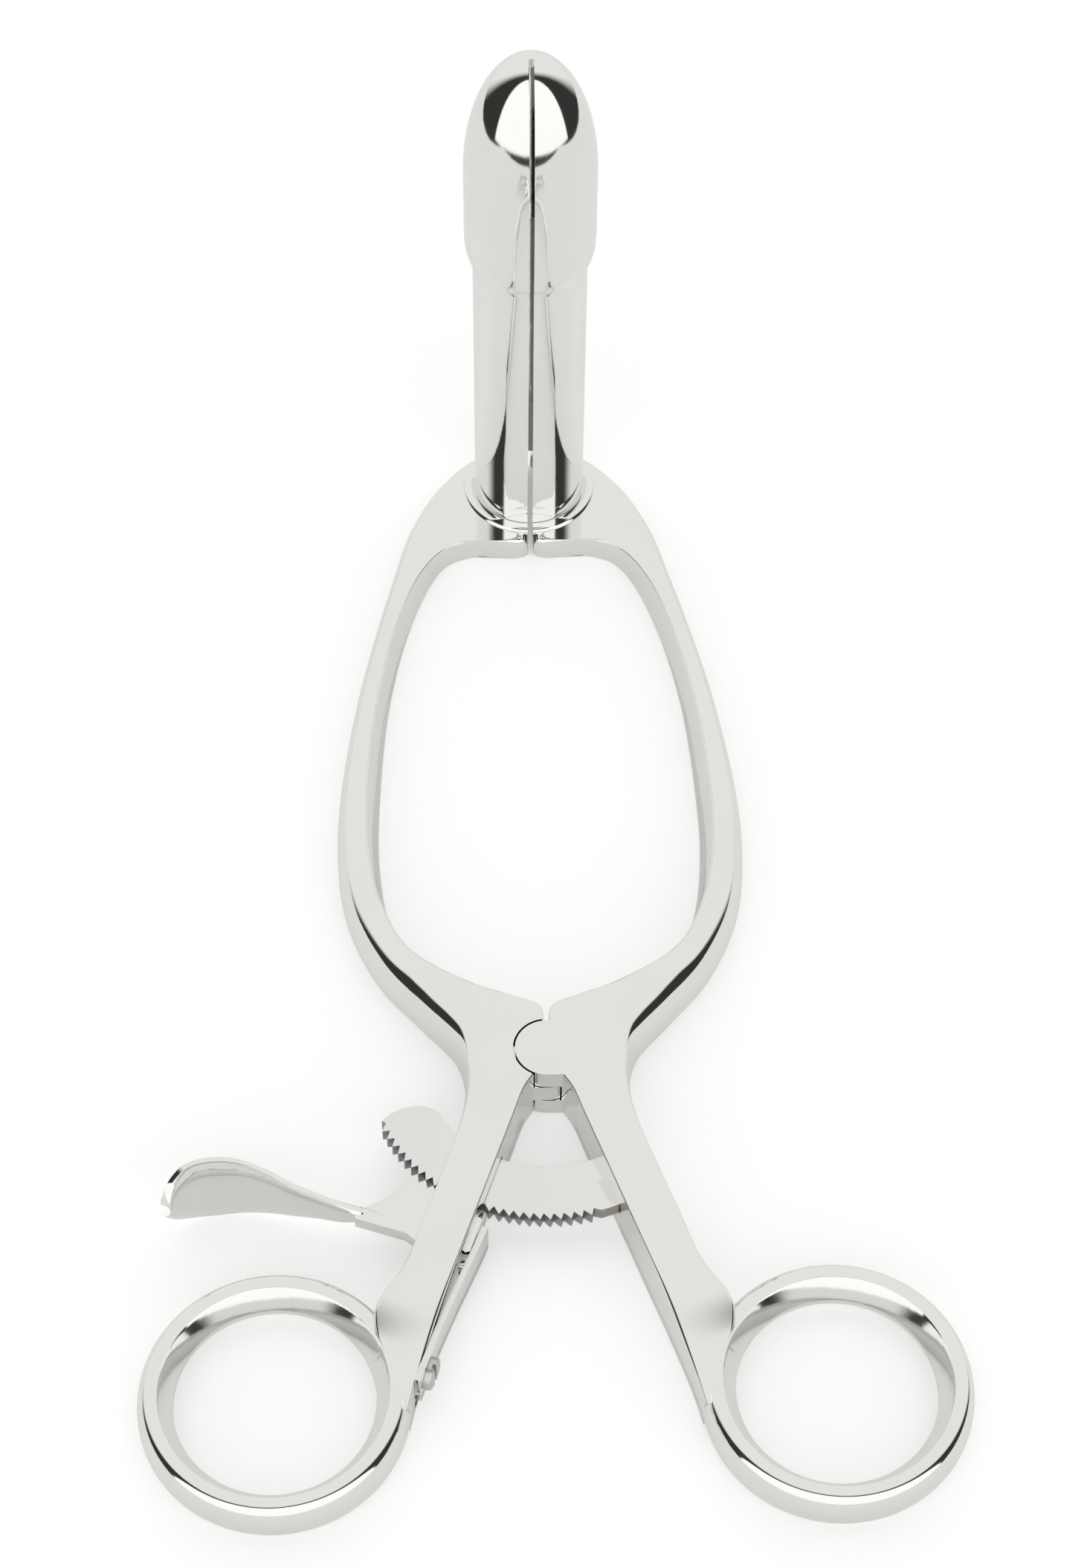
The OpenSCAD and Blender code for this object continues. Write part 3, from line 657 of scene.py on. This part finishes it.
def bar_outline():
    """Inner edge, rounded free end, teeth, and the plain edge down to the bar's root."""
    end = FIRST_TOOTH + END_BEYOND * PITCH
    last = FIRST_TOOTH - (TEETH - 1) * PITCH
    half_w = (TIP_R - BAR_IN) / 2
    root = TIP_R - TOOTH_H
    plain = TIP_R - PLAIN_DROP
    inner = end - END_ROUND + BAR_ROOT
    turn = int(inner / EDGE_STEP)
    points = [arc_point(BAR_IN, -BAR_ROOT + inner * k / turn) for k in range(turn)]
    points += [arc_point(MID_R - half_w * cos(radians(a)), end + END_ROUND * (sin(radians(a)) - 1))
               for a in range(0, 91, 9)]
    points += [arc_point(MID_R + half_w * sin(radians(a)), end - 0.4 * END_ROUND * (1 - cos(radians(a))))
               for a in range(10, 70, 10)]
    for i in range(TEETH):
        a = FIRST_TOOTH - i * PITCH
        points += [arc_point(root, a + LONG_FLANK * PITCH), arc_point(TIP_R, a + HALF_CREST * PITCH),
                   arc_point(TIP_R, a - HALF_CREST * PITCH)]
    points.append(arc_point(root, last - (1 - LONG_FLANK) * PITCH))
    points += [arc_point(plain, last - PITCH - EDGE_STEP * k)
               for k in range(int((last - PITCH + BAR_ROOT) / EDGE_STEP))]
    points.append(arc_point(plain, -BAR_ROOT))
    return points


rivet_hole = disc(RIVET_R + PRESSED, 0, SHANK_T, MID_R * sin(RIVET_ANGLE), -MID_R * cos(RIVET_ANGLE))
bar_mesh = carve(flat_plate(bar_outline(), BAR_Z, BAR_T, PLATE_ROUND, "bar"), cuts=[rivet_hole])
add_piece("ratchet_bar_toothed", bar_mesh, bar_steel, "right", "ratchet_bar", 25)
bar_mesh.materials.append(brazed_steel)
bar_mesh.materials.append(painted_shade_steel)
brazed_slot, painted_shade_slot = 1, 2
# Side faces at the toothed edge get the painted shade colour; those towards the right shank get the brazed
# colour.
tooth_foot = (TIP_R - TOOTH_H - 0.05) * MM
for face in bar_mesh.polygons:
    if abs(face.normal.z) < 0.5 and hypot(face.center.x, face.center.y) > tooth_foot:
        face.material_index = brazed_slot if face.center.x > BRAZED_X * MM else painted_shade_slot


# Release lever. One piece: a pawl plate that lies in the slot and turns on the lever pin, and
# a thumb strip on edge that widens into a spoon-shaped paddle. The teeth are set out locked in
# the bar, turned back by ENGAGE, and cut down where they wouldn't clear its crests.
ENGAGE = radians(5.3)
PAWL_TEETH = 3
OPEN_TEETH = 11
LOCK_GAP = 0.25
CREST_GAP = 0.1
PLATE_TAIL = 0.6
# Distance beyond the bar's tooth tips in millimetres, and angle in degrees
PLATE_EDGE = ((7.3, 36), (9.8, 47.1), (8.9, 48.8), (7.3, 47.3),
              (5.6, 46.4), (4.2, 46), (2.6, 46.1), (1.3, 46.4))
STRIP_FOOT = (8.2, 46.6)
STRIP_T = 1.2
STRIP_L = 24.6
STRIP_Z = 0.4
STRIP_CORNER = 0.3
STRIP_ROWS = 8
PADDLE_H = 11.2
PADDLE_LEAN = 1.0
PADDLE_DISH = 0.35
# Parts of the length outwards and towards the bow, parts of the height at the lower and the
# upper edge, and how far the paddle's lean and dish have set in
STRIP = [(0, 0, 0.36, 0.5, 0), (0.12, 0.025, 0.24, 0.57, 0), (0.245, 0.065, 0.18, 0.63, 0.1),
         (0.37, 0.1, 0.13, 0.72, 0.3), (0.49, 0.14, 0.07, 0.83, 0.6), (0.62, 0.165, 0.02, 0.94, 0.9),
         (0.75, 0.16, 0, 1, 1), (0.87, 0.135, 0.05, 0.98, 1), (0.95, 0.085, 0.2, 0.85, 1),
         (0.99, 0.04, 0.4, 0.66, 1), (1, 0.02, 0.5, 0.56, 1)]


def freed(p):
    """A point of the locked pawl, turned back about the lever's pin."""
    x, y = p[0] + LEVER_X, p[1] + LEVER_Y
    return (x * cos(ENGAGE) - y * sin(ENGAGE) - LEVER_X, x * sin(ENGAGE) + y * cos(ENGAGE) - LEVER_Y)


def raised(p):
    """The point, moved out where it is too near the bar's crests."""
    k = max(1.0, (TIP_R + CREST_GAP) / hypot(*p))
    return (p[0] * k, p[1] * k)


def plate_outline():
    """Pawl teeth, tail towards the leaf, hub round the pin, and the edge that bears the strip."""
    first = FIRST_TOOTH
    while first - PITCH >= OPEN_TEETH * PITCH:
        first -= PITCH
    root = TIP_R + LOCK_GAP
    tip = TIP_R - TOOTH_H + LOCK_GAP
    points = []
    for i in reversed(range(PAWL_TEETH)):
        a = first + i * PITCH
        tooth = (arc_point(root, a + 0.94 * PITCH), arc_point(tip, a + (LONG_FLANK - 0.06) * PITCH),
                 arc_point(tip, a + (LONG_FLANK - 0.14) * PITCH))
        points += [raised(freed(p)) for p in tooth]
    points.append(freed(arc_point(root, first)))
    points += [(-shank_in(y) + PLATE_TAIL, -y) for y in (LEVER_Y - LEVER_HUB, LEVER_Y + 0.7 * LEVER_HUB)]
    points += [(-LEVER_X + LEVER_HUB * cos(radians(a)), -LEVER_Y - LEVER_HUB * sin(radians(a)))
               for a in range(60, 121, 10)]
    points += [arc_point(TIP_R + beyond, a) for beyond, a in PLATE_EDGE]
    return points


def thumb_strip():
    """Sections across the strip, from the plate to the paddle's rounded end."""
    foot = arc_point(TIP_R + STRIP_FOOT[0], STRIP_FOOT[1])
    path = [(foot[0] - STRIP_L * s[0], foot[1] + STRIP_L * s[1], STRIP_Z + PADDLE_H * s[2],
             STRIP_Z + PADDLE_H * s[3], PADDLE_LEAN * s[4] / 2, s[4]) for s in along(STRIP, 4)]
    sections = []
    for i, (x, y, low, high, lean, spoon) in enumerate(path):
        a, b = path[max(0, i - 1)], path[min(len(path) - 1, i + 1)]
        span = hypot(b[0] - a[0], b[1] - a[1])
        dx, dy = (b[0] - a[0]) / span, (b[1] - a[1]) / span
        section = []
        for side, rows in ((1, range(STRIP_ROWS + 1)), (-1, range(STRIP_ROWS, -1, -1))):
            for k in rows:
                rise = k / STRIP_ROWS
                z = low + (high - low) * rise
                half = STRIP_T / 2 - (STRIP_CORNER if k in (0, STRIP_ROWS) else 0.0)
                dish = PADDLE_DISH * spoon * (1 - (2 * rise - 1) ** 2)
                tilt = lean * (2 * rise - 1)
                section.append(Vector((x + side * dy * half - dy * dish,
                                       y - side * dx * half + tilt + dx * dish, z)))
        sections.append(section)
    return loft(sections, "strip")


lever_hole = disc(LEVER_PIN_R + RUNNING, 0, SHANK_T, -LEVER_X, -LEVER_Y)
pawl_plate = flat_plate(plate_outline(), BAR_Z, BAR_T, PLATE_ROUND, "plate")
lever_mesh = carve(pawl_plate, joins=[thumb_strip()], cuts=[lever_hole])
add_piece("release_lever_paddle", lever_mesh, polished_steel, "lever", "release_lever", 40)


# Leaf spring. A narrow strip of spring steel screwed to the left shank's inner face. Its tip
# presses on the lever's tail.
LEAF_T = 0.8
LEAF_FOOT = 2.6
LEAF_FLAT = 2
LEAF_OFF = 0.02
LEAF_LIFT = 0.9
LEAF_L = (SCREW_Y - LEVER_Y) / cos(SHANK_LEAN) + 1.6
LEAF_ROUND = 0.06
LEAF_HOLE_GAP = 0.15


def leaf_off(t):
    """How far the leaf stands off the shank, from t = 0 at its flat foot to t = 1 at its tip."""
    return LEAF_OFF + LEAF_LIFT * (1.25 * t**1.6 - 0.25 * t**6)


def leaf_outline():
    steps = 40
    near = [(leaf_off(k / steps), LEAF_FLAT + (LEAF_L - LEAF_FLAT) * k / steps) for k in range(steps + 1)]
    near = [(LEAF_OFF, -LEAF_FOOT)] + near
    return near + [(x + LEAF_T, y) for x, y in reversed(near)]


leaf_hole = placed(disc(SCREW_R + LEAF_HOLE_GAP, -1, LEAF_T + 1), screw_axis)
leaf_blank = flat_plate(leaf_outline(), 0, LEAF_H, LEAF_ROUND, "leaf")
leaf_mesh = placed(carve(leaf_blank, cuts=[leaf_hole]), leaf_place)
leaf = add_piece("leaf_spring_strip", leaf_mesh, bar_steel, None, "leaf_spring")
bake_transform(leaf)


# Screw of the leaf. A turned cheese-head screw of plain steel, with a rounded rim and a sawn
# slot, driven through the leaf into the left shank.
SCREW_HEAD_R = 2.0
SCREW_HEAD_T = 0.9
DRIVE_SLOT_W = 0.6
DRIVE_SLOT_DEPTH = 0.4
dull_steel = steel_finish("dull_steel", (0.62, 0.62, 0.61), 0.28, 0.02, 0.3)
under_head = LEAF_T + 0.04
head_top = under_head + SCREW_HEAD_T
screw_profile = [(0, -SCREW_DEPTH), (SCREW_R, -SCREW_DEPTH), (SCREW_R, under_head),
                 (SCREW_HEAD_R, under_head), (SCREW_HEAD_R, head_top - 0.3),
                 (SCREW_HEAD_R - 0.08, head_top - 0.1), (SCREW_HEAD_R - 0.25, head_top), (0, head_top)]
drive_slot = block(-SCREW_HEAD_R - 1, SCREW_HEAD_R + 1, -DRIVE_SLOT_W / 2, DRIVE_SLOT_W / 2,
                   head_top - DRIVE_SLOT_DEPTH, head_top + 1)
screw_mesh = placed(carve(turned(screw_profile, 0, 0, 64), cuts=[drive_slot]), leaf_place @ screw_axis)
add_piece("spring_screw_slotted", screw_mesh, dull_steel, "left", "spring_screw")


# Pins and rivet. They are plain turned steel, ground flush where they meet the forgings, and
# a little duller than the buffed faces round them.
for cad_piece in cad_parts.values():
    cad_piece.data.materials.clear()
    cad_piece.data.materials.append(dull_steel)


# Studio. A white table that ends in front of the instrument, a light-grey tent above and behind
# it, and a large white softbox on the camera's side. The dark between them draws the steel's
# dark lines. Seen straight by the camera, everything round the instrument is white.
TABLE_X = 0.26
TABLE_FRONT = -0.125
TABLE_BACK = 0.9
TABLE_BELOW = 0.0001
TABLE_LIFT_SEEN = 0.36
TABLE_LIFT_MIRRORED = 0.13
paint = bpy.data.materials.new("table_white")
paint.use_nodes = True
nodes = paint.node_tree.nodes
links = paint.node_tree.links
shader = nodes["Principled BSDF"]
shader.inputs["Base Color"].default_value = (0.90, 0.90, 0.90, 1)
shader.inputs["Roughness"].default_value = 0.9
shader.inputs["Specular IOR Level"].default_value = 0.1
shader.inputs["Emission Color"].default_value = (1, 1, 1, 1)
ray = nodes.new("ShaderNodeLightPath")
mirror_lift = nodes.new("ShaderNodeMath")
mirror_lift.operation = "MULTIPLY"
mirror_lift.inputs[1].default_value = TABLE_LIFT_MIRRORED
links.new(ray.outputs["Is Glossy Ray"], mirror_lift.inputs[0])
lift = nodes.new("ShaderNodeMath")
lift.operation = "MULTIPLY_ADD"
lift.inputs[1].default_value = TABLE_LIFT_SEEN
links.new(ray.outputs["Is Camera Ray"], lift.inputs[0])
links.new(mirror_lift.outputs["Value"], lift.inputs[2])
links.new(lift.outputs["Value"], shader.inputs["Emission Strength"])

table_shape = bmesh.new()
bmesh.ops.create_grid(table_shape, x_segments=1, y_segments=1, size=0.5)
bmesh.ops.scale(table_shape, vec=(2 * TABLE_X, TABLE_BACK - TABLE_FRONT, 1), verts=table_shape.verts)
table_mesh = bpy.data.meshes.new("table")
table_shape.to_mesh(table_mesh)
table_shape.free()
table_mesh.materials.append(paint)
table = bpy.data.objects.new("table", table_mesh)
bpy.context.scene.collection.objects.link(table)
table.location = (0, (TABLE_FRONT + TABLE_BACK) / 2, cad_box[0][2] - TABLE_BELOW)

# The surroundings by direction: y is away from the camera's side, z is up
TENT_HEIGHT_WEIGHT = 0.6
TENT_EDGE = (0.30, 0.62)
SOFTBOX_SIDE = (0.34, 0.38)
SOFTBOX_FOOT = (-0.24, -0.20)
TENT_LEVEL = 0.86
SOFTBOX_LEVEL = 1.12
DARK_LEVEL = 0.035
world = bpy.data.worlds.new("studio")
bpy.context.scene.world = world
world.use_nodes = True
nodes = world.node_tree.nodes
links = world.node_tree.links
sky = nodes["Background"]
direction = nodes.new("ShaderNodeTexCoord")
axes = nodes.new("ShaderNodeSeparateXYZ")
links.new(direction.outputs["Generated"], axes.inputs["Vector"])


def edge_of(value, start, end):
    """0 below start, 1 above end, smooth between."""
    step = nodes.new("ShaderNodeMapRange")
    step.interpolation_type = "SMOOTHSTEP"
    step.inputs["From Min"].default_value = start
    step.inputs["From Max"].default_value = end
    links.new(value, step.inputs["Value"])
    return step.outputs["Result"]


def maths(operation, first, second):
    node = nodes.new("ShaderNodeMath")
    node.operation = operation
    for socket, value in zip(node.inputs, (first, second)):
        if isinstance(value, (int, float)):
            socket.default_value = value
        else:
            links.new(value, socket)
    return node.outputs["Value"]


behind = maths("ADD", axes.outputs["Y"], maths("MULTIPLY", axes.outputs["Z"], TENT_HEIGHT_WEIGHT))
tent = edge_of(behind, *TENT_EDGE)
front = edge_of(maths("MULTIPLY", axes.outputs["Y"], -1.0), *SOFTBOX_SIDE)
softbox = maths("MULTIPLY", front, edge_of(axes.outputs["Z"], *SOFTBOX_FOOT))
lit = maths("MAXIMUM", maths("MULTIPLY", tent, TENT_LEVEL), maths("MULTIPLY", softbox, SOFTBOX_LEVEL))
level = maths("MAXIMUM", lit, DARK_LEVEL)
ray = nodes.new("ShaderNodeLightPath")
shown = maths("MAXIMUM", level, ray.outputs["Is Camera Ray"])
links.new(shown, sky.inputs["Strength"])
sky.inputs["Color"].default_value = (1.0, 1.0, 0.985, 1)

bpy.context.scene.view_settings.view_transform = "Standard"
